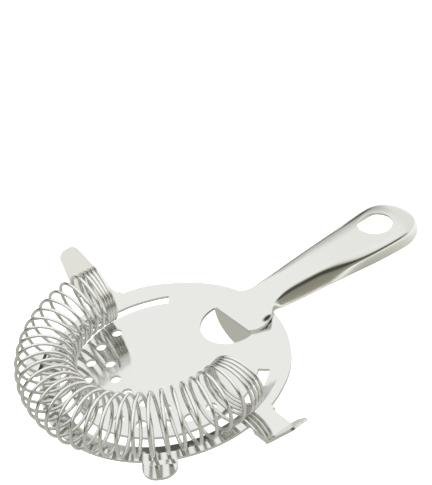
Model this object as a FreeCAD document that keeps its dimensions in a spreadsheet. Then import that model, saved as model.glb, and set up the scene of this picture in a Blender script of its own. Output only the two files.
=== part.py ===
import FreeCAD, Part
import math
import os
import re
import Sketcher
from FreeCAD import Placement, Rotation, Vector

# Four-prong hawthorne strainer, in millimetres. The top face of the flat disc plate is z = 0,
# the disc's axis is the Z axis, and the handle points along +X. The spring lies on the +Z side,
# which is the side that goes down into the tin.

SIZES = {
    # disc plate, with an arc-shaped slot round its front
    "disc_radius": 39.0, "plate_thickness": 0.9,
    "slot_inner_radius": 29.3, "slot_outer_radius": 32.8, "slot_end_angle": 50.0,
    # rim band outside the slot: raised, and sloping down to the slot
    "rim_rise": 0.6, "rim_inner_drop": 0.9, "rim_shoulder_radius": 36.2, "rim_ramp_angle": 12.0,
    # perforations, in two rows of arcs
    "perforation_diameter": 3.3,
    "outer_row_radius": 24.0, "outer_row_count": 11, "outer_row_step": 17.6,
    "inner_row_radius": 26.8, "inner_row_centre": 12.2, "inner_row_count": 5, "inner_row_step": 16.0,
    # round window whose handle-side half stays, and whose other half is a flap folded down
    "window_radius": 9.4, "window_centre": 26.0, "fold_position": 27.3,
    # two front prongs
    "front_prong_angle": 129.5, "front_prong_width": 10.3, "front_prong_root": 37.0,
    "front_prong_tip": 45.4, "front_prong_step": 40.3, "front_prong_rounding": 4.6,
    # two side prongs: a flat tab with turned-down edges, then a finger grip leaning outwards
    "tab_centre": 6.0, "tab_width": 9.0, "tab_root": 36.6, "tab_end": 47.3, "tab_flange_depth": 2.4,
    "grip_width": 10.8, "grip_length": 15.3, "grip_angle": 46.0, "grip_shoulder": 3.6,
    "grip_tip_width": 5.6, "grip_rounding": 2.7,
    # handle: a flat fan welded on the plate, running into a channel with its open side down
    "handle_thickness": 0.9, "fan_front_width": 16.4, "fan_width": 20.4, "fan_shoulder": 33.5,
    "channel_start": 35.5, "neck_width": 12.6, "neck_position": 47.0, "tail_width": 20.0,
    "handle_end": 102.0, "crest_height": 3.2, "tail_height": 1.0, "nose_height": -2.4,
    "skirt_depth": 6.0, "crest_rounding": 2.6, "rim_clearance": 0.4,
    "hang_hole_diameter": 11.2, "hang_hole_position": 88.4,
    # coil spring: a left-hand coil bent into an arc, with close turns at both ends
    "wire_diameter": 1.1, "coil_radius": 9.0, "coil_end_radius": 8.7, "coil_arc_radius": 32.2,
    "coil_arc_offset": 3.05, "coil_arc_turn": 3.4, "coil_end_angle": 76.0, "coil_turns": 36, "close_turns": 3.2,
    "opening_turns": 1.8, "close_pitch": 2.2, "spring_gap": 0.3,
}

NAMES = re.compile(r"\b(%s)\b" % "|".join(SIZES))


def make_sheet(doc):
    sheet = doc.addObject("Spreadsheet::Sheet", "sizes")
    for row, (name, value) in enumerate(SIZES.items(), 1):
        sheet.set("A%d" % row, name)
        sheet.set("B%d" % row, str(value))
        sheet.setAlias("B%d" % row, name)
    doc.recompute()


def bound(text):
    """An expression on the sheet's cells, from plain size names."""
    return NAMES.sub(r"sizes.\1", str(text))


def bind(thing, **expressions):
    for name, text in expressions.items():
        thing.setExpression(name, bound(text))


def number(thing, text):
    return float(thing.evalExpression(bound(text)))


# ---------------------------------------------------------------- sketches

def new_sketch(body, role, shift=("0", "0", "0"), turn=None, axis=(0, 1, 0)):
    """A sketch on one of the body's origin planes, moved and turned in that plane's own axes."""
    sketch = body.newObject("Sketcher::SketchObject", "sketch")
    plane = next(part for part in body.Origin.OriginFeatures if part.Role == role)
    sketch.AttachmentSupport = [(plane, "")]
    sketch.MapMode = "FlatFace"
    if turn is not None:
        sketch.AttachmentOffset = Placement(Vector(), Rotation(Vector(*axis), number(sketch, turn)))
        sketch.setExpression(".AttachmentOffset.Rotation.Angle", bound(turn))
    for letter, text in zip("xyz", shift):
        if text != "0":
            sketch.setExpression(".AttachmentOffset.Base." + letter, bound(text))
    return sketch


def pin(sketch, edge, end, x, y):
    """Hold a point of the sketch at two expressions from the sketch's origin."""
    for kind, text in (("DistanceX", x), ("DistanceY", y)):
        value = number(sketch, text)
        index = sketch.addConstraint(Sketcher.Constraint(kind, -1, 1, edge, end, value))
        sketch.setExpression("Constraints[%d]" % index, bound(text))


def draw_polygon(sketch, corners):
    """A closed outline of straight lines whose corners are pairs of expressions."""
    points = [Vector(number(sketch, x), number(sketch, y), 0) for x, y in corners]
    count = len(points)
    for index in range(count):
        sketch.addGeometry(Part.LineSegment(points[index], points[(index + 1) % count]), False)
    for index in range(count):
        follower = (index + 1) % count
        sketch.addConstraint(Sketcher.Constraint("Coincident", index, 2, follower, 1))
    for index, (x, y) in enumerate(corners):
        pin(sketch, index, 1, x, y)


def draw_circle(sketch, x, y, diameter):
    centre = Vector(number(sketch, x), number(sketch, y), 0)
    edge = sketch.addGeometry(Part.Circle(centre, Vector(0, 0, 1), number(sketch, diameter) / 2), False)
    index = sketch.addConstraint(Sketcher.Constraint("Diameter", edge, number(sketch, diameter)))
    sketch.setExpression("Constraints[%d]" % index, bound(diameter))
    pin(sketch, edge, 3, x, y)


def draw_segment(sketch, centre, radius, chord, upright):
    """A circle's part on the low side of a chord. Centre and chord are places on one axis,
    which is the sketch's x where the chord is upright and its y where it isn't."""
    middle, size, cut = (number(sketch, text) for text in (centre, radius, chord))
    half = math.acos((cut - middle) / size)
    start, end = (half, -half) if upright else (half + math.pi / 2, math.pi / 2 - half)
    place = Vector(middle, 0, 0) if upright else Vector(0, middle, 0)
    circle = Part.Circle(place, Vector(0, 0, 1), size)
    sketch.addGeometry(Part.ArcOfCircle(circle, start, end + 2 * math.pi), False)
    arc = sketch.Geometry[0]
    sketch.addGeometry(Part.LineSegment(arc.EndPoint, arc.StartPoint), False)
    sketch.addConstraint(Sketcher.Constraint("Coincident", 0, 2, 1, 1))
    sketch.addConstraint(Sketcher.Constraint("Coincident", 0, 1, 1, 2))
    index = sketch.addConstraint(Sketcher.Constraint("Radius", 0, size))
    sketch.setExpression("Constraints[%d]" % index, bound(radius))
    pin(sketch, 0, 3, *((centre, "0") if upright else ("0", centre)))
    sketch.addConstraint(Sketcher.Constraint("Vertical" if upright else "Horizontal", 1))
    kind = "DistanceX" if upright else "DistanceY"
    index = sketch.addConstraint(Sketcher.Constraint(kind, -1, 1, 1, 1, cut))
    sketch.setExpression("Constraints[%d]" % index, bound(chord))


# ---------------------------------------------------------------- features

def finish_feature(body, feature, grows):
    """Recompute, and stop if the feature did nothing or went the wrong way."""
    before = finish_feature.volume.get(body.Name, 0.0)
    body.Document.recompute()
    after = feature.Shape.Volume
    if not feature.Shape.isValid() or (after - before) * (1 if grows else -1) <= 0.01:
        raise RuntimeError("%s: %s changed %.3f to %.3f" % (body.Label, feature.Name, before, after))
    finish_feature.volume[body.Name] = after
    return feature


finish_feature.volume = {}


def pad(body, sketch, length, down=False, both=False):
    feature = body.newObject("PartDesign::Pad", "pad")
    feature.Profile = sketch
    feature.Reversed = down
    feature.Midplane = both
    bind(feature, Length=length)
    return finish_feature(body, feature, True)


def pocket(body, sketch, length=None):
    feature = body.newObject("PartDesign::Pocket", "pocket")
    feature.Profile = sketch
    if length is None:
        feature.Type = "ThroughAll"
    else:
        bind(feature, Length=length)
    return finish_feature(body, feature, False)


def revolve(body, sketch, angle):
    feature = body.newObject("PartDesign::Revolution", "revolution")
    feature.Profile = sketch
    feature.ReferenceAxis = (sketch, ["V_Axis"])
    feature.Midplane = True
    bind(feature, Angle=angle)
    return finish_feature(body, feature, True)


def loft(body, sketches):
    feature = body.newObject("PartDesign::AdditiveLoft", "loft")
    feature.Profile = sketches[0]
    feature.Sections = sketches[1:]
    return finish_feature(body, feature, True)


def mirror(body, features):
    """The same features on the other side of the XZ plane."""
    feature = body.newObject("PartDesign::Mirrored", "mirrored")
    feature.Originals = features
    plane = next(part for part in body.Origin.OriginFeatures if part.Role == "XZ_Plane")
    feature.MirrorPlane = (plane, [""])
    body.Tip = feature
    return finish_feature(body, feature, True)


def repeat(body, original, sketch, count, step):
    """Copies of a feature about the sketch's own origin, a step apart."""
    feature = body.newObject("PartDesign::PolarPattern", "pattern")
    feature.Originals = [original]
    feature.Axis = (sketch, ["N_Axis"])
    bind(feature, Occurrences=count, Angle="%s * (%s - 1)" % (step, count))
    body.Tip = feature
    return finish_feature(body, feature, False)


def fillet(body, radius, wanted):
    """Round the edges of the body's last shape for which wanted(edge) is true."""
    base = body.Tip
    names = ["Edge%d" % (index + 1) for index, edge in enumerate(base.Shape.Edges) if wanted(edge)]
    if not names:
        raise RuntimeError("%s: no edge to round" % body.Label)
    feature = body.newObject("PartDesign::Fillet", "fillet")
    feature.Base = (base, names)
    bind(feature, Radius=radius)
    body.Document.recompute()
    if not feature.Shape.isValid():
        raise RuntimeError("%s: a fillet failed" % body.Label)
    finish_feature.volume[body.Name] = feature.Shape.Volume


def is_line_along(edge, direction):
    if len(edge.Vertexes) != 2:
        return False
    run = edge.Vertexes[1].Point - edge.Vertexes[0].Point
    return abs(edge.Length - run.Length) < 1e-6 and run.cross(Vector(*direction)).Length < 1e-6 * run.Length


def faces_up(face):
    low_u, high_u, low_v, high_v = face.ParameterRange
    return face.normalAt((low_u + high_u) / 2, (low_v + high_v) / 2).z > 0.9


# ---------------------------------------------------------------- strainer plate

def flat_band(side):
    """The rim band's section, level with the plate. Side is 1 or -1 along the sketch's x."""
    top = [("slot_outer_radius", "0"), ("rim_shoulder_radius", "0"), ("disc_radius", "0")]
    return band_section(side, top)


def raised_band(side, share="1"):
    top = [("slot_outer_radius", "(rim_rise - rim_inner_drop) * " + share),
           ("rim_shoulder_radius", "rim_rise * " + share), ("disc_radius", "rim_rise * " + share)]
    return band_section(side, top)


def band_section(side, top):
    bottom = [(x, "%s - plate_thickness" % z) for x, z in reversed(top)]
    return [("%d * (%s)" % (side, x), z) for x, z in top + bottom]


def make_strainer_plate(doc):
    body = doc.addObject("PartDesign::Body", "strainer_plate")
    body.Label = "strainer_plate"

    sketch = new_sketch(body, "XY_Plane")
    draw_circle(sketch, "0", "0", "2 * slot_inner_radius")
    pad(body, sketch, "plate_thickness", down=True)

    # the solid sector that carries the handle, with no slot in it
    sketch = new_sketch(body, "XZ_Plane")
    draw_polygon(sketch, [("slot_inner_radius / 2", "0"), ("disc_radius", "0"),
                          ("disc_radius", "-plate_thickness"),
                          ("slot_inner_radius / 2", "-plate_thickness")])
    revolve(body, sketch, "2 * slot_end_angle")

    # the rim band meets that sector through a ramp at each end of the slot
    ramp = []
    for share in ("0", "0.5", "1"):
        section = new_sketch(body, "XZ_Plane", turn="slot_end_angle + rim_ramp_angle * " + share)
        draw_polygon(section, flat_band(1) if share == "0" else raised_band(1, share))
        ramp.append(section)
    mirrored = [loft(body, ramp)]

    mirrored.append(make_side_prong(body))
    mirrored.append(make_front_prong(body))
    mirrored += make_tab_flanges(body)
    mirror(body, mirrored)

    sketch = new_sketch(body, "XZ_Plane")
    draw_polygon(sketch, raised_band(-1))
    revolve(body, sketch, "360 - 2 * (slot_end_angle + rim_ramp_angle)")

    trim_side_prongs(body)
    tip = math.hypot(SIZES["front_prong_tip"], SIZES["front_prong_width"] / 2)

    def at_front_tip(edge):
        point = edge.CenterOfMass
        return is_line_along(edge, (0, 0, 1)) and abs(math.hypot(point.x, point.y) - tip) < 0.05

    fillet(body, "front_prong_rounding", at_front_tip)
    taper_grips(body)
    round_grips(body)
    make_window(body)
    make_perforations(body)
    return body


def make_front_prong(body):
    """A short tongue that steps down from the rim band to the level of the plate."""
    sketch = new_sketch(body, "XZ_Plane", turn="front_prong_angle")
    draw_polygon(sketch, [
        ("front_prong_root", "rim_rise"), ("disc_radius", "rim_rise"), ("front_prong_step", "0"),
        ("front_prong_tip", "0"), ("front_prong_tip", "-plate_thickness"),
        ("front_prong_step", "-plate_thickness"), ("disc_radius", "rim_rise - plate_thickness"),
        ("front_prong_root", "rim_rise - plate_thickness")])
    return pad(body, sketch, "front_prong_width", both=True)


def grip_point(along, above):
    """A place on the side prong's section: how far along the grip, and how far above its face."""
    y = "tab_end + (%s) * cos(grip_angle) - (%s) * sin(grip_angle)" % (along, above)
    z = "rim_rise + (%s) * sin(grip_angle) + (%s) * cos(grip_angle)" % (along, above)
    return (y, z)


def make_side_prong(body):
    sketch = new_sketch(body, "YZ_Plane", shift=("0", "0", "tab_centre"))
    bend = "plate_thickness * tan(grip_angle / 2)"
    draw_polygon(sketch, [
        ("tab_root", "rim_rise"), ("tab_end", "rim_rise"), grip_point("grip_length", "0"),
        grip_point("grip_length", "-plate_thickness"),
        ("tab_end + " + bend, "rim_rise - plate_thickness"),
        ("tab_root", "rim_rise - plate_thickness")])
    return pad(body, sketch, "grip_width", both=True)


def make_tab_flanges(body):
    """The tab's two long edges are turned down."""
    flanges = []
    for side in (1, -1):
        middle = "tab_centre + %d * (tab_width - plate_thickness) / 2" % side
        sketch = new_sketch(body, "YZ_Plane", shift=("0", "0", middle))
        draw_polygon(sketch, [
            ("disc_radius + plate_thickness", "rim_rise - plate_thickness / 2"),
            ("tab_end", "rim_rise - plate_thickness / 2"),
            ("tab_end - plate_thickness", "rim_rise - tab_flange_depth"),
            ("disc_radius + 2 * plate_thickness", "rim_rise - tab_flange_depth")])
        flanges.append(pad(body, sketch, "plate_thickness", both=True))
    return flanges


def trim_side_prongs(body):
    """The tab is narrower than the grip beyond it."""
    for end in (1, -1):
        for side in (1, -1):
            inner = "tab_centre + %d * tab_width / 2" % side
            outer = "tab_centre + %d * grip_width" % side
            sketch = new_sketch(body, "XY_Plane", shift=("0", "0", "rim_rise + plate_thickness"))
            near, far = "%d * (disc_radius + 0.05)" % end, "%d * tab_end" % end
            draw_polygon(sketch, [(inner, near), (outer, near), (outer, far), (inner, far)])
            pocket(body, sketch)


def taper_grips(body):
    """Each grip narrows from its shoulder to its tip, and its corners are rounded."""
    shoulder = "tab_end + grip_shoulder * cos(grip_angle)"
    tip = "tab_end + (grip_length + 2) * cos(grip_angle)"
    for end in (1, -1):
        for side in (1, -1):
            wide = "tab_centre + %d * grip_width / 2" % side
            narrow = "tab_centre + %d * grip_tip_width / 2" % side
            outer = "tab_centre + %d * grip_width" % side
            near, far = "%d * (%s)" % (end, shoulder), "%d * (%s)" % (end, tip)
            sketch = new_sketch(body, "XY_Plane", shift=("0", "0", "grip_length + 2"))
            draw_polygon(sketch, [(wide, near), (outer, near), (outer, far), (narrow, far)])
            pocket(body, sketch)


def round_grips(body):
    angle = math.radians(SIZES["grip_angle"])
    reach = SIZES["tab_end"] + SIZES["grip_length"] * math.cos(angle)

    def at_grip_tip(edge):
        point = edge.CenterOfMass
        return 0.8 < edge.Length < 1.7 and abs(abs(point.y) - reach + 0.3) < 1.0 and point.z > 1.5

    fillet(body, "grip_rounding", at_grip_tip)


def make_window(body):
    sketch = new_sketch(body, "XY_Plane")
    draw_segment(sketch, "window_centre", "window_radius", "fold_position", True)
    pocket(body, sketch)
    # the flap is the piece cut out of the window, folded down about the chord
    sketch = new_sketch(body, "YZ_Plane", shift=("0", "0", "fold_position"))
    draw_segment(sketch, "window_centre - fold_position", "window_radius", "0", False)
    pad(body, sketch, "plate_thickness")


def make_perforations(body):
    rows = [("0", "outer_row_radius", "outer_row_count", "outer_row_step"),
            ("inner_row_centre", "inner_row_radius", "inner_row_count", "inner_row_step")]
    for centre, radius, count, step in rows:
        first = "180 - %s * (%s - 1) / 2" % (step, count)
        sketch = new_sketch(body, "XY_Plane", shift=(centre, "0", "0"), turn=first, axis=(0, 0, 1))
        draw_circle(sketch, radius, "0", "perforation_diameter")
        repeat(body, pocket(body, sketch), sketch, count, step)


# ---------------------------------------------------------------- handle

def draw_channel(body, inset):
    """The channel as a solid block, drawn inside its own outline by an inset."""
    nose = "handle_end - (%s)" % inset
    tail = "handle_end - tail_width / 2"
    front = "channel_start + 2 * (%s)" % inset
    under = "(%s) * 3" % inset
    side = new_sketch(body, "XZ_Plane")
    draw_polygon(side, [
        (front, "0 - " + under), (front, "handle_thickness - (%s)" % inset),
        ("neck_position - 4", "crest_height - (%s)" % inset),
        ("neck_position + 6", "crest_height - (%s)" % inset),
        ("hang_hole_position - 8", "tail_height - (%s)" % inset),
        ("hang_hole_position + 7", "tail_height - (%s)" % inset),
        (nose, "nose_height - (%s)" % inset), (nose, "0.8 - skirt_depth - " + under),
        (tail, "-skirt_depth - " + under), ("disc_radius + rim_clearance", "0 - " + under)])
    pad(body, side, "tail_width + 2", both=True)
    for half in (1, -1):
        plan = new_sketch(body, "XY_Plane", shift=("0", "0", "crest_height + 1"))
        wall = ["%d * (%s / 2 - (%s))" % (half, width, inset) for width in ("neck_width", "tail_width")]
        far = "%d * tail_width" % half
        draw_polygon(plan, [
            ("channel_start - 1", wall[0]), ("neck_position", wall[0]), (tail, wall[1]),
            ("handle_end + 1", wall[1]), ("handle_end + 1", far), ("channel_start - 1", far)])
        pocket(body, plan)

    def at_nose(edge):
        return is_line_along(edge, (0, 0, 1)) and edge.CenterOfMass.x > SIZES["handle_end"] - 2

    fillet(body, "tail_width / 2 - (%s) - 0.4" % inset, at_nose)

    upward = [face for face in body.Tip.Shape.Faces if faces_up(face)]

    def on_crest(edge):
        inside = edge.CenterOfMass.x > SIZES["channel_start"] + 8
        across = is_line_along(edge, (0, 1, 0))
        return inside and not across and any(edge.isSame(side) for face in upward for side in face.Edges)

    fillet(body, "crest_rounding - (%s)" % inset, on_crest)


def make_handle(doc):
    body = doc.addObject("PartDesign::Body", "handle")
    body.Label = "handle"
    draw_channel(body, "0")
    hollow = doc.addObject("PartDesign::Body", "handle_hollow")
    draw_channel(hollow, "handle_thickness")
    cut = body.newObject("PartDesign::Boolean", "hollow_cut")
    cut.Type = "Cut"
    cut.addObjects([hollow])
    body.Tip = cut
    finish_feature(body, cut, False)

    # the flat fan, welded on the plate behind the fold of the window
    fan = new_sketch(body, "XY_Plane")
    halves = [("fold_position", "fan_front_width / 2"), ("fan_shoulder - 2", "fan_width / 2"),
              ("fan_shoulder + 1.5", "fan_width / 2"), ("disc_radius - 0.6", "neck_width / 2")]
    outline = halves + [(x, "-(%s)" % y) for x, y in reversed(halves)]
    draw_polygon(fan, outline)
    pad(body, fan, "handle_thickness")

    hole = new_sketch(body, "XY_Plane", shift=("0", "0", "crest_height + 1"))
    draw_circle(hole, "hang_hole_position", "0", "hang_hole_diameter")
    pocket(body, hole)
    return body


# ---------------------------------------------------------------- coil spring

def coil_pitches(turns, close, opening):
    """How open each fiftieth of a turn is: 0 in the close end turns, 1 in the open middle."""
    steps = 50
    openness = []
    for index in range(int(turns * steps)):
        turn = (index + 0.5) / steps
        share = min(max((min(turn, turns - turn) - close) / opening, 0.0), 1.0)
        openness.append(share * share * (3 - 2 * share))
    return openness, steps


def coil_angles(sheet):
    """The angle round the disc after each fiftieth of a turn, from one end to the other."""
    openness, steps = coil_pitches(sheet.coil_turns, sheet.close_turns, sheet.opening_turns)
    span = 360.0 - 2 * sheet.coil_end_angle
    close = sheet.close_pitch / steps
    spare = (span - close * len(openness)) / sum(openness)
    angles = [360.0 - sheet.coil_end_angle + sheet.coil_arc_turn]
    for share in openness:
        angles.append(angles[-1] - close - spare * share)
    return angles, openness + openness[-1:], steps


def coil_points(sheet, per_turn):
    """Points on the wire's centre line with their directions of travel."""
    angles, openness, steps = coil_angles(sheet)
    lift = sheet.rim_rise + sheet.spring_gap + sheet.wire_diameter / 2

    def place(turn):
        at = min(max(turn * steps, 0.0), len(angles) - 1.000001)
        low = int(at)
        part = at - low
        theta = math.radians(angles[low] * (1 - part) + angles[low + 1] * part)
        share = openness[low] * (1 - part) + openness[low + 1] * part
        radius = sheet.coil_end_radius + (sheet.coil_radius - sheet.coil_end_radius) * share
        psi = 2 * math.pi * (turn + 0.5)      # both ends of the wire are down at the plate
        reach = sheet.coil_arc_radius + radius * math.sin(psi)
        rise = lift + radius * (1 + math.cos(psi))
        return Vector(reach * math.cos(theta) - sheet.coil_arc_offset, reach * math.sin(theta), rise)

    count = int(sheet.coil_turns * per_turn)
    nudge = 1e-3
    result = []
    for index in range(count + 1):
        turn = min(max(index / per_turn, nudge), sheet.coil_turns - nudge)
        ahead = place(turn + nudge) - place(turn - nudge)
        result.append((place(turn), ahead.normalize()))
    return result


def arc_between(start, corner, end):
    """The arc that leaves start towards corner and arrives at end from it."""
    chord = (start + end) * 0.5
    inward = chord - corner
    half = math.atan2((start - chord).Length, inward.Length)
    length = (start - corner).Length
    middle = corner + inward.normalize() * (length / math.cos(half) - length * math.tan(half))
    return Part.Arc(start, middle, end).toShape()


def tangent_arcs(points):
    """A smooth wire through the points: two arcs between neighbours, tangent where they meet."""
    edges = []
    for (start, leave), (end, arrive) in zip(points, points[1:]):
        run = end - start
        both = leave + arrive
        gap = 2 * (1 - leave.dot(arrive))
        along = run.dot(both)
        reach = (math.sqrt(along * along + gap * run.dot(run)) - along) / gap
        first, second = start + leave * reach, end - arrive * reach
        joint = (first + second) * 0.5
        edges += [arc_between(start, first, joint), arc_between(joint, second, end)]
    return Part.Wire(edges)


def make_coil_spring(doc):
    sheet = doc.sizes
    points = coil_points(sheet, 3)
    path = tangent_arcs(points)
    start, direction = points[0]
    section = Part.Wire(Part.Circle(start, direction, sheet.wire_diameter / 2).toShape())
    solid = path.makePipeShell([section], True, False)
    wire = doc.addObject("Part::Feature", "coil_spring")
    wire.Label = "coil_spring"
    wire.Shape = solid
    wire.Placement = Placement()
    print("coil: length %.1f, volume %.1f of %.1f" % (
        path.Length, solid.Volume, path.Length * math.pi * sheet.wire_diameter ** 2 / 4))
    return wire


# ---------------------------------------------------------------- document

def main():
    doc = FreeCAD.newDocument("hawthorne_strainer")
    make_sheet(doc)
    parts = [make_strainer_plate(doc), make_handle(doc), make_coil_spring(doc)]
    doc.recompute()
    for thing in doc.Objects:
        if "Invalid" in thing.State or "Error" in thing.State:
            raise RuntimeError("%s is %s" % (thing.Name, thing.State))
    for part in parts:
        if part.Shape.isNull() or not part.Shape.isValid() or len(part.Shape.Solids) != 1:
            raise RuntimeError("%s has no single valid solid" % part.Label)
    os.makedirs("parts", exist_ok=True)
    for part in parts:
        part.Shape.exportStep("parts/%s.step" % part.Label)
        box = part.Shape.BoundBox
        print("%-16s %8.1f mm3  x %.1f %.1f  y %.1f %.1f  z %.1f %.1f" % (
            part.Label, part.Shape.Volume, box.XMin, box.XMax, box.YMin, box.YMax, box.ZMin, box.ZMax))


main()
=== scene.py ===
import math

import bmesh
import bpy
from mathutils import Matrix, Vector


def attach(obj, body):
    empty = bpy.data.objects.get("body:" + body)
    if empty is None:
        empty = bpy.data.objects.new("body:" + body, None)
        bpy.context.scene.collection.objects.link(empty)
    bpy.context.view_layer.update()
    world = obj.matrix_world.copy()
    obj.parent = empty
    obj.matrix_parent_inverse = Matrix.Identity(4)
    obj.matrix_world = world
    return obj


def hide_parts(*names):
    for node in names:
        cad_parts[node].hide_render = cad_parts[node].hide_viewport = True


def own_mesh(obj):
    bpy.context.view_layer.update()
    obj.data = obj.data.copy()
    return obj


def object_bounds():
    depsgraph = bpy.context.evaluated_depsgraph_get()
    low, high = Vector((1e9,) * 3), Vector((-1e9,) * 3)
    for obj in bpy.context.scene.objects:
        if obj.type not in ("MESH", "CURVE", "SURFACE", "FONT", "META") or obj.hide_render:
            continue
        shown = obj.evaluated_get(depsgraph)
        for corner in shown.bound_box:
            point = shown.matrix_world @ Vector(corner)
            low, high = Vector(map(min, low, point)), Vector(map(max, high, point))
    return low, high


# A four-prong hawthorne strainer of polished stainless steel, lying with its spring up.
# The sizes below are in millimetres; the disc's axis is Z and the handle points along +X.

MM = 0.001

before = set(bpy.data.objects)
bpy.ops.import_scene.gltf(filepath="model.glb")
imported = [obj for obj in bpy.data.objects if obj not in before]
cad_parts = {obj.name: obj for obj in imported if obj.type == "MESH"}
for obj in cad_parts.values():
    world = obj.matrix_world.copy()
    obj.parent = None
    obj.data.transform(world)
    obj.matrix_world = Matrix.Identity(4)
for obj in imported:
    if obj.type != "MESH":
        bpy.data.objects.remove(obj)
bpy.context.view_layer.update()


# ---------------------------------------------------------------- colours and materials

def linear(text):
    """A six-digit sRGB hex colour as linear red, green, blue and alpha."""
    parts = [int(text[i:i + 2], 16) / 255 for i in (0, 2, 4)]
    return [c / 12.92 if c <= 0.04045 else ((c + 0.055) / 1.055) ** 2.4 for c in parts] + [1.0]


def add(tree, kind, settings=None, **links):
    """A node with its settings; a link is given as input_name=(node, output)."""
    node = tree.nodes.new(kind)
    for name, value in (settings or {}).items():
        if name in node.inputs:
            node.inputs[name].default_value = value
        else:
            setattr(node, name, value)
    for name, (source, output) in links.items():
        target = node.inputs[int(name[1:])] if name[0] == "i" and name[1:].isdigit() else None
        if target is None:
            target = node.inputs[name.replace("_", " ")]
        tree.links.new(source.outputs[output], target)
    return node


def start_material(name):
    material = bpy.data.materials.new(name)
    material.use_nodes = True
    tree = material.node_tree
    tree.nodes.clear()
    return material, tree


def close_material(tree, shader):
    output = add(tree, "ShaderNodeOutputMaterial")
    tree.links.new(shader.outputs[0], output.inputs["Surface"])


def polished_sheet(name, colour, smear, wave):
    """Mirror-polished stainless sheet: buffing leaves it a hair off flat, with a faint smear."""
    material, tree = start_material(name)
    place = add(tree, "ShaderNodeTexCoord")
    # slow waviness of rolled and stamped sheet, about 25 mm from crest to crest
    waves = add(tree, "ShaderNodeTexNoise", {"Scale": 40.0, "Detail": 1.0}, Vector=(place, "Object"))
    # buffing marks: fine lines, drawn at 0.8 mm so that they show
    stretch = add(tree, "ShaderNodeMapping", {"Scale": (120.0, 1250.0, 1250.0)}, Vector=(place, "Object"))
    marks = add(tree, "ShaderNodeTexNoise", {"Scale": 1.0, "Detail": 3.0}, Vector=(stretch, "Vector"))
    # smears from handling, about 15 mm across, seen only as a change of gloss
    smears = add(tree, "ShaderNodeTexNoise", {"Scale": 65.0, "Detail": 4.0, "Roughness": 0.6},
                 Vector=(place, "Object"))
    gloss = add(tree, "ShaderNodeMapRange",
                {"From Min": 0.3, "From Max": 0.7, "To Min": smear * 0.6, "To Max": smear * 1.5},
                Value=(smears, 0))
    first = add(tree, "ShaderNodeBump", {"Strength": wave, "Distance": 0.0004}, Height=(waves, 0))
    second = add(tree, "ShaderNodeBump", {"Strength": 0.05, "Distance": 0.00002},
                 Height=(marks, 0), Normal=(first, 0))
    shader = add(tree, "ShaderNodeBsdfPrincipled", {"Base Color": linear(colour), "Metallic": 1.0},
                 Roughness=(gloss, 0), Normal=(second, 0))
    close_material(tree, shader)
    return material


def drawn_wire(name, colour):
    """Bright drawn spring wire: the die leaves fine lines along it, so it is a little duller."""
    material, tree = start_material(name)
    place = add(tree, "ShaderNodeTexCoord")
    # die lines and specks, drawn at 0.5 mm so that they show
    specks = add(tree, "ShaderNodeTexNoise", {"Scale": 2000.0, "Detail": 2.0}, Vector=(place, "Object"))
    gloss = add(tree, "ShaderNodeMapRange",
                {"From Min": 0.3, "From Max": 0.7, "To Min": 0.16, "To Max": 0.26}, Value=(specks, 0))
    shader = add(tree, "ShaderNodeBsdfPrincipled", {"Base Color": linear(colour), "Metallic": 1.0},
                 Roughness=(gloss, 0))
    close_material(tree, shader)
    return material


plate_steel = polished_sheet("mirror_polished_stainless_plate", "D2D3CF", 0.09, 0.08)
handle_steel = polished_sheet("mirror_polished_stainless_handle", "D2D3CF", 0.09, 0.10)
wire_steel = drawn_wire("bright_drawn_spring_wire", "DDDDDA")


def eased(share):
    """A share held between 0 and 1 and eased at both ends."""
    share = min(max(share, 0.0), 1.0)
    return share * share * (3 - 2 * share)


def mesh_object(name, points, faces, material):
    mesh = bpy.data.meshes.new(name)
    mesh.from_pydata([Vector(p) * MM for p in points], [], faces)
    mesh.validate()
    mesh.update()
    mesh.polygons.foreach_set("use_smooth", [True] * len(mesh.polygons))
    piece = bpy.data.objects.new(name, mesh)
    bpy.context.scene.collection.objects.link(piece)
    mesh.materials.append(material)
    return piece


# ---------------------------------------------------------------- coil spring

WIRE = 1.1
COIL_RADIUS, COIL_END_RADIUS = 9.0, 8.7
ARC_RADIUS, ARC_OFFSET, ARC_END, ARC_TURN = 32.2, 3.05, 76.0, 3.4
TURNS, CLOSE_TURNS, OPENING_TURNS, CLOSE_PITCH = 36, 3.2, 1.8, 2.2
COIL_FLOOR = 0.6 + 0.3      # the raised rim band and a small gap under the wire
FINE_STEPS = 50             # steps in a turn where the pitch is added up
WIRE_STEPS, WIRE_SIDES = 40, 12


def coil_line(per_turn):
    """The wire's centre line, from one end of the arc to the other."""
    steps = TURNS * FINE_STEPS
    openness = []
    for index in range(steps):
        turn = (index + 0.5) / FINE_STEPS
        openness.append(eased((min(turn, TURNS - turn) - CLOSE_TURNS) / OPENING_TURNS))
    close = CLOSE_PITCH / FINE_STEPS
    spare = (360.0 - 2 * ARC_END - close * steps) / sum(openness)
    angles = [360.0 - ARC_END + ARC_TURN]
    for share in openness:
        angles.append(angles[-1] - close - spare * share)
    openness.append(openness[-1])
    line = []
    for index in range(TURNS * per_turn + 1):
        turn = index / per_turn
        at = min(turn * FINE_STEPS, steps - 1e-6)
        low = int(at)
        part = at - low
        theta = math.radians(angles[low] * (1 - part) + angles[low + 1] * part)
        share = openness[low] * (1 - part) + openness[low + 1] * part
        radius = COIL_END_RADIUS + (COIL_RADIUS - COIL_END_RADIUS) * share
        psi = 2 * math.pi * (turn + 0.5)      # both ends of the wire are down at the plate
        reach = ARC_RADIUS + radius * math.sin(psi)
        rise = COIL_FLOOR + WIRE / 2 + radius * (1 + math.cos(psi))
        line.append(Vector((reach * math.cos(theta) - ARC_OFFSET, reach * math.sin(theta), rise)))
    return line


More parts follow.
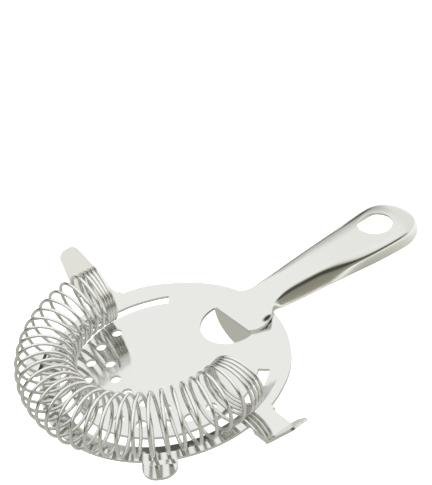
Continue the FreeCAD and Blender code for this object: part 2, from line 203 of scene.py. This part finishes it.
def tube(line, radius, sides):
    """Points and faces of a round tube along a line, with rounded ends."""
    points, faces = [], []
    direction = (line[1] - line[0]).normalized()
    side = direction.orthogonal().normalized()
    rings = 0

    def ring(centre, direction, side, size):
        other = direction.cross(side)
        for index in range(sides):
            turn = 2 * math.pi * index / sides
            points.append(centre + (side * math.cos(turn) + other * math.sin(turn)) * size)

    count = len(line)
    for index, centre in enumerate(line):
        ahead = line[min(index + 1, count - 1)] - line[max(index - 1, 0)]
        ahead.normalize()
        side = (side - ahead * side.dot(ahead)).normalized()
        if index == 0:
            for share in (0.45, 0.85):
                back = math.sqrt(1 - share * share) * radius * 0.6
                ring(centre - ahead * back, ahead, side, radius * share)
                rings += 1
        ring(centre, ahead, side, radius)
        rings += 1
        if index == count - 1:
            for share in (0.85, 0.45):
                on = math.sqrt(1 - share * share) * radius * 0.6
                ring(centre + ahead * on, ahead, side, radius * share)
                rings += 1
    for row in range(rings - 1):
        for index in range(sides):
            after = (index + 1) % sides
            faces.append((row * sides + index, row * sides + after,
                          (row + 1) * sides + after, (row + 1) * sides + index))
    faces.append(tuple(reversed(range(sides))))
    faces.append(tuple(range((rings - 1) * sides, rings * sides)))
    return points, faces


points, faces = tube(coil_line(WIRE_STEPS), WIRE / 2, WIRE_SIDES)
coil = mesh_object("coil_wire", points, faces, wire_steel)


# ---------------------------------------------------------------- handle

SHEET = 0.9
FAN_FRONT, CHANNEL_FROM, CHANNEL_FULL = 27.3, 35.0, 43.0
TAIL_CENTRE, HANDLE_END = 92.6, 103.2
TAIL_FROM, TAIL_BLEND = 58.0, 34.0     # where the flank starts to turn into the tail's dome
RIB_STEP, NOSE_RIBS = 0.7, 32
CROWN = 0.45                           # how far the crest arches over the channel
CURL_AT, CURL_RISE, CURL_WIDTH = 34.6, 1.3, 2.6      # the fan's corners turn up from the plate


def blend_table(table, x):
    """A smooth value at x from rows of (x, value)."""
    if x <= table[0][0]:
        return table[0][1]
    for index in range(len(table) - 1):
        (x0, v0), (x1, v1) = table[index], table[index + 1]
        if x <= x1:
            before = table[index - 1] if index else (x0 - (x1 - x0), v0)
            after = table[index + 2] if index + 2 < len(table) else (x1 + (x1 - x0), v1)
            slope0 = (v1 - before[1]) / (x1 - before[0])
            slope1 = (after[1] - v0) / (after[0] - x0)
            t = (x - x0) / (x1 - x0)
            return ((2 * t ** 3 - 3 * t ** 2 + 1) * v0 + (t ** 3 - 2 * t ** 2 + t) * slope0 * (x1 - x0)
                    + (-2 * t ** 3 + 3 * t ** 2) * v1 + (t ** 3 - t ** 2) * slope1 * (x1 - x0))
    return table[-1][1]


# half-width of the crest, its height, and the height of the lower edge
CREST_HALF = [(27.3, 8.2), (29.2, 9.4), (31.4, 10.15), (34.0, 10.1), (36.4, 8.3), (39.0, 6.2),
              (43.0, 4.8),
              (48.0, 4.5), (56.0, 5.05), (64.0, 5.75), (72.0, 6.2), (78.0, 6.5), (84.0, 6.6),
              (89.0, 6.6), (92.6, 6.5)]
CREST = [(27.3, 0.95), (34.0, 0.97), (38.0, 1.5), (43.0, 2.75), (47.0, 3.15), (53.0, 3.05),
         (66.0, 2.2), (80.0, 1.0), (88.0, 0.4), (93.0, 0.2), (97.0, -0.1), (100.0, -0.6),
         (103.2, -1.4)]
EDGE = [(27.3, 0.9), (34.0, 0.9), (36.0, 0.8), (39.0, 0.3), (43.0, -0.8), (50.0, -1.7), (58.0, -2.3),
        (68.0, -3.2), (74.0, -3.8), (80.0, -4.4), (88.0, -5.1), (93.0, -5.4), (98.0, -5.1), (103.2, -4.5)]
# the flank leans outwards: its slope in degrees at even steps down from the crest
FLANK_NECK = [46, 53, 57, 60, 62, 63, 64, 65, 66, 67, 68]
FLANK_TAIL = [8, 13, 20, 28, 38, 60, 78, 82, 83, 84, 84]
FLANK_STEPS, TOP_STEPS = 22, 12


def handle_ribs():
    """Each rib runs from the lower edge up over the crest to the middle line."""
    stations = []
    x = FAN_FRONT
    while x < TAIL_CENTRE - 0.01:
        stations.append((x, None))
        x += RIB_STEP
    for index in range(NOSE_RIBS + 1):
        stations.append((TAIL_CENTRE, math.pi / 2 - math.pi * index / NOSE_RIBS))
    return stations


def flank_slopes(x):
    tail = eased((x - TAIL_FROM) / TAIL_BLEND)
    slopes = []
    for step in range(FLANK_STEPS):
        at = step / (FLANK_STEPS - 1) * (len(FLANK_NECK) - 1)
        low = min(int(at), len(FLANK_NECK) - 2)
        part = at - low
        neck = FLANK_NECK[low] * (1 - part) + FLANK_NECK[low + 1] * part
        round_tail = FLANK_TAIL[low] * (1 - part) + FLANK_TAIL[low + 1] * part
        slopes.append(math.radians(neck * (1 - tail) + round_tail * tail))
    return slopes


def rib_points(x, turn, side, inner):
    """Points of one rib; the inner skin lies one sheet thickness inside the outer one."""
    channel = eased((x - CHANNEL_FROM) / (CHANNEL_FULL - CHANNEL_FROM))
    half = blend_table(CREST_HALF, x)
    slopes = flank_slopes(x)
    drop = blend_table(CREST, x) - blend_table(EDGE, x)
    piece = drop / sum(math.sin(a) for a in slopes)
    outs, drops, tilts = [half], [0.0], [0.0]
    for a in slopes:
        outs.append(outs[-1] + piece * math.cos(a) * channel)
        drops.append(drops[-1] + piece * math.sin(a))
        tilts.append(a)
    reach = outs[-1]
    stretch = (HANDLE_END - TAIL_CENTRE) / reach
    result = []
    for index in range(FLANK_STEPS, 0, -1):
        result.append((outs[index], drops[index] / drop, tilts[index]))
    for step in range(TOP_STEPS + 1):
        result.append((half * (1 - step / TOP_STEPS), 0.0, 0.0))
    points = []
    for out, share, tilt in result:
        lean = tilt * channel
        out -= SHEET * math.sin(lean) * inner
        if turn is None:
            px, py = x, out * side
        else:
            px, py = x + out * math.cos(turn) * stretch, out * math.sin(turn)
        # the far end is pressed down in a round dome
        top = blend_table(CREST, px) if turn is not None else blend_table(CREST, x)
        low = blend_table(EDGE, min(px, HANDLE_END))
        crown = CROWN * channel * max(0.0, 1 - (out / half) ** 2)
        curl = CURL_RISE * math.exp(-((px - CURL_AT) / CURL_WIDTH) ** 2)
        curl *= min(max((out - 6.0) / 4.0, 0.0), 1.0) ** 2
        z = top + crown + curl + (low - top) * share
        points.append((px, py, z - SHEET * math.cos(lean) * inner))
    return points


def handle_mesh():
    stations = handle_ribs()
    body = [s for s in stations if s[1] is None]
    nose = [s for s in stations if s[1] is not None]
    ribs = [(x, None, 1) for x, _ in body] + [(x, t, 1) for x, t in nose]
    ribs += [(x, None, -1) for x, _ in reversed(body)]
    outer = [rib_points(x, t, s, 0) for x, t, s in ribs]
    inner = [rib_points(x, t, s, 1) for x, t, s in ribs]
    length = len(outer[0])
    points = [p for rib in outer for p in rib] + [p for rib in inner for p in rib]
    start = len(ribs) * length
    faces = []
    for row in range(len(ribs) - 1):
        for index in range(length - 1):
            a, b = row * length + index, row * length + index + 1
            c, d = b + length, a + length
            faces.append((a, b, c, d))
            faces.append((start + d, start + c, start + b, start + a))
        a, d = row * length, (row + 1) * length
        faces.append((a, d, start + d, start + a))
    # the fan's front edge, on both halves
    for row in (0, len(ribs) - 1):
        for index in range(length - 1):
            a, b = row * length + index, row * length + index + 1
            face = (a, start + a, start + b, b)
            faces.append(face if row == 0 else tuple(reversed(face)))
    return points, faces


def clean(piece, distance):
    mesh = bmesh.new()
    mesh.from_mesh(piece.data)
    bmesh.ops.remove_doubles(mesh, verts=mesh.verts, dist=distance)
    bmesh.ops.dissolve_degenerate(mesh, dist=1e-7, edges=mesh.edges)
    bmesh.ops.recalc_face_normals(mesh, faces=mesh.faces)
    mesh.to_mesh(piece.data)
    mesh.free()


def apply_modifiers(piece):
    graph = bpy.context.evaluated_depsgraph_get()
    made = bpy.data.meshes.new_from_object(piece.evaluated_get(graph))
    piece.modifiers.clear()
    piece.data = made


points, faces = handle_mesh()
handle = mesh_object("handle_shell", points, faces, handle_steel)
clean(handle, 2e-5)

HOLE_AT, HOLE_RADIUS = 88.4, 5.7
bpy.ops.mesh.primitive_cylinder_add(vertices=96, radius=HOLE_RADIUS * MM, depth=0.03,
                                    location=(HOLE_AT * MM, 0, 0))
punch = bpy.context.object
cut = handle.modifiers.new("hang_hole", "BOOLEAN")
cut.operation, cut.object, cut.solver = "DIFFERENCE", punch, "EXACT"
apply_modifiers(handle)
bpy.data.objects.remove(punch)
edges = handle.modifiers.new("rounded_edges", "BEVEL")
edges.width, edges.segments, edges.limit_method = 0.18 * MM, 3, "ANGLE"
edges.angle_limit = math.radians(50)
apply_modifiers(handle)
handle.data.polygons.foreach_set("use_smooth", [True] * len(handle.data.polygons))
handle.data.set_sharp_from_angle(angle=math.radians(40))


# ---------------------------------------------------------------- riding and materials

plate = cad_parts["strainer_plate"]
plate.data.materials.clear()
plate.data.materials.append(plate_steel)

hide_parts("handle")
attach(handle, "strainer")
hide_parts("coil_spring")
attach(coil, "strainer")
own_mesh(coil)


# ---------------------------------------------------------------- floor, light and camera

low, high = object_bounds()
floor_level = low.z - 0.0002


def level_sheet(name, material, level):
    bpy.ops.mesh.primitive_plane_add(size=6.0, location=(0, 0, level))
    sheet = bpy.context.object
    sheet.name = name
    sheet.data.materials.append(material)
    return sheet


# a white floor lit from behind, as a light table is, so that nothing casts a hard shadow on it
paper, tree = start_material("backlit_white_acrylic")
shader = add(tree, "ShaderNodeBsdfPrincipled", {"Base Color": linear("EDEDED"), "Roughness": 0.8,
             "Emission Color": linear("FFFFFF"), "Emission Strength": 0.9})
close_material(tree, shader)
floor = level_sheet("floor", paper, floor_level)
floor.visible_glossy = False
# what polished metal sees of the table: a glowing grey card just under the white sheet, its grey a painted
# reflection of the table in shade; it turns lighter and brighter past the disc on the handle's side as
# painted light where the table is lit; only reflections and the light they carry see it
card, tree = start_material("shade_and_light_reflection_card")
place = add(tree, "ShaderNodeTexCoord")
split = add(tree, "ShaderNodeSeparateXYZ", Vector=(place, "Object"))
# painted light: the card turns lighter past x = 85 mm, and stays darker nearer the disc as painted shade
painted_light_share = add(tree, "ShaderNodeMapRange", {"From Min": 0.085, "From Max": 0.13, "To Min": 0.0, "To Max": 1.0},
           Value=(split, "X"))
# the darker colour is painted shade on the table, the lighter one is painted light on it
shade_and_light_tone = add(tree, "ShaderNodeMix", {"data_type": "RGBA"}, i0=(painted_light_share, 0))
shade_and_light_tone.inputs[6].default_value, shade_and_light_tone.inputs[7].default_value = linear("CFCEC6"), linear("F6F5F1")
# painted light: past the disc the card glows up to half again as strongly
painted_light_gain = add(tree, "ShaderNodeMapRange", {"From Min": 0.085, "From Max": 0.11, "To Min": 1.0, "To Max": 1.5},
           Value=(split, "X"))
shader = add(tree, "ShaderNodeEmission", {}, Color=(shade_and_light_tone, 2), Strength=(painted_light_gain, 0))
close_material(tree, shader)
grey = level_sheet("reflected_card", card, floor_level - 0.0005)
grey.visible_camera = grey.visible_diffuse = grey.visible_shadow = False

world = bpy.data.worlds.new("white_studio")
bpy.context.scene.world = world
world.use_nodes = True
tree = world.node_tree
tree.nodes.clear()
place = add(tree, "ShaderNodeTexCoord")
split = add(tree, "ShaderNodeSeparateXYZ", Vector=(place, "Generated"))
# white walls and ceiling over a darker skirting at the horizon


def wall_ramp(stops):
    ramp = add(tree, "ShaderNodeValToRGB", Fac=(split, "Z"))
    band = ramp.color_ramp
    for index, (height, colour) in enumerate(stops):
        stop = band.elements[index] if index < 2 else band.elements.new(height)
        stop.position, stop.color = height, linear(colour)
    return ramp


far_wall = wall_ramp([(0.0, "7A7B75"), (0.49, "FFFFFF"), (0.08, "40413C"), (0.28, "4A4B46"),
                      (0.38, "B5B6B0")])
# the wall behind the camera is left darker, so that steep metal shows its edges
near_wall = wall_ramp([(0.0, "9B998B"), (0.62, "F4F2EA"), (0.20, "8F8D80"), (0.27, "45463F"),
                       (0.42, "50514A"), (0.50, "D6D3C9")])
facing = add(tree, "ShaderNodeMapRange", {"From Min": -0.75, "From Max": -0.35, "To Min": 1.0, "To Max": 0.0},
             Value=(split, "Y"))
walls = add(tree, "ShaderNodeMix", {"data_type": "RGBA"}, i0=(facing, 0), i6=(far_wall, 0), i7=(near_wall, 0))
# an open window on the handle's side
window = add(tree, "ShaderNodeMapRange", {"From Min": 0.50, "From Max": 0.72, "To Min": 0.0, "To Max": 1.0},
             Value=(split, "X"))
walls = add(tree, "ShaderNodeMix", {"data_type": "RGBA"}, i0=(window, 0), i6=(walls, 2))
walls.inputs[7].default_value = linear("F1F1EE")
sky = add(tree, "ShaderNodeBackground", {"Strength": 1.25}, Color=(walls, 2))
output = add(tree, "ShaderNodeOutputWorld", Surface=(sky, 0))
bpy.context.scene.view_settings.view_transform = "Standard"


def soft_light(name, place, aim, size, power):
    data = bpy.data.lights.new(name, "AREA")
    data.shape, data.size, data.size_y = "RECTANGLE", size[0], size[1]
    data.energy = power
    lamp = bpy.data.objects.new(name, data)
    bpy.context.scene.collection.objects.link(lamp)
    lamp.location = place
    lamp.rotation_mode = "QUATERNION"
    lamp.rotation_quaternion = (Vector(aim) - Vector(place)).to_track_quat("-Z", "Y")
    return lamp


overhead = soft_light("overhead_box", (0.1, 0.2, 0.9), (0.02, 0, 0), (0.9, 0.9), 6.0)
overhead.visible_glossy = False


def aim_camera(azimuth, elevation, roll, place, lens):
    a, e, r = (math.radians(v) for v in (azimuth, elevation, roll))
    back = Vector((math.sin(a) * math.cos(e), -math.cos(a) * math.cos(e), math.sin(e)))
    level = Vector((math.cos(a), math.sin(a), 0))
    above = level.cross(-back)
    right = level * math.cos(r) + above * math.sin(r)
    up = above * math.cos(r) - level * math.sin(r)
    data = bpy.data.cameras.new("camera")
    data.lens, data.sensor_width = lens, 36.0
    data.clip_start, data.clip_end = 0.01, 20.0
    camera = bpy.data.objects.new("camera", data)
    bpy.context.scene.collection.objects.link(camera)
    turn = Matrix((right, up, back)).transposed().to_4x4()
    camera.matrix_world = Matrix.Translation(Vector(place) * MM) @ turn
    bpy.context.scene.camera = camera


aim_camera(-31.62, 38.72, -11.76, (-168.95, -318.43, 331.96), 118.76)
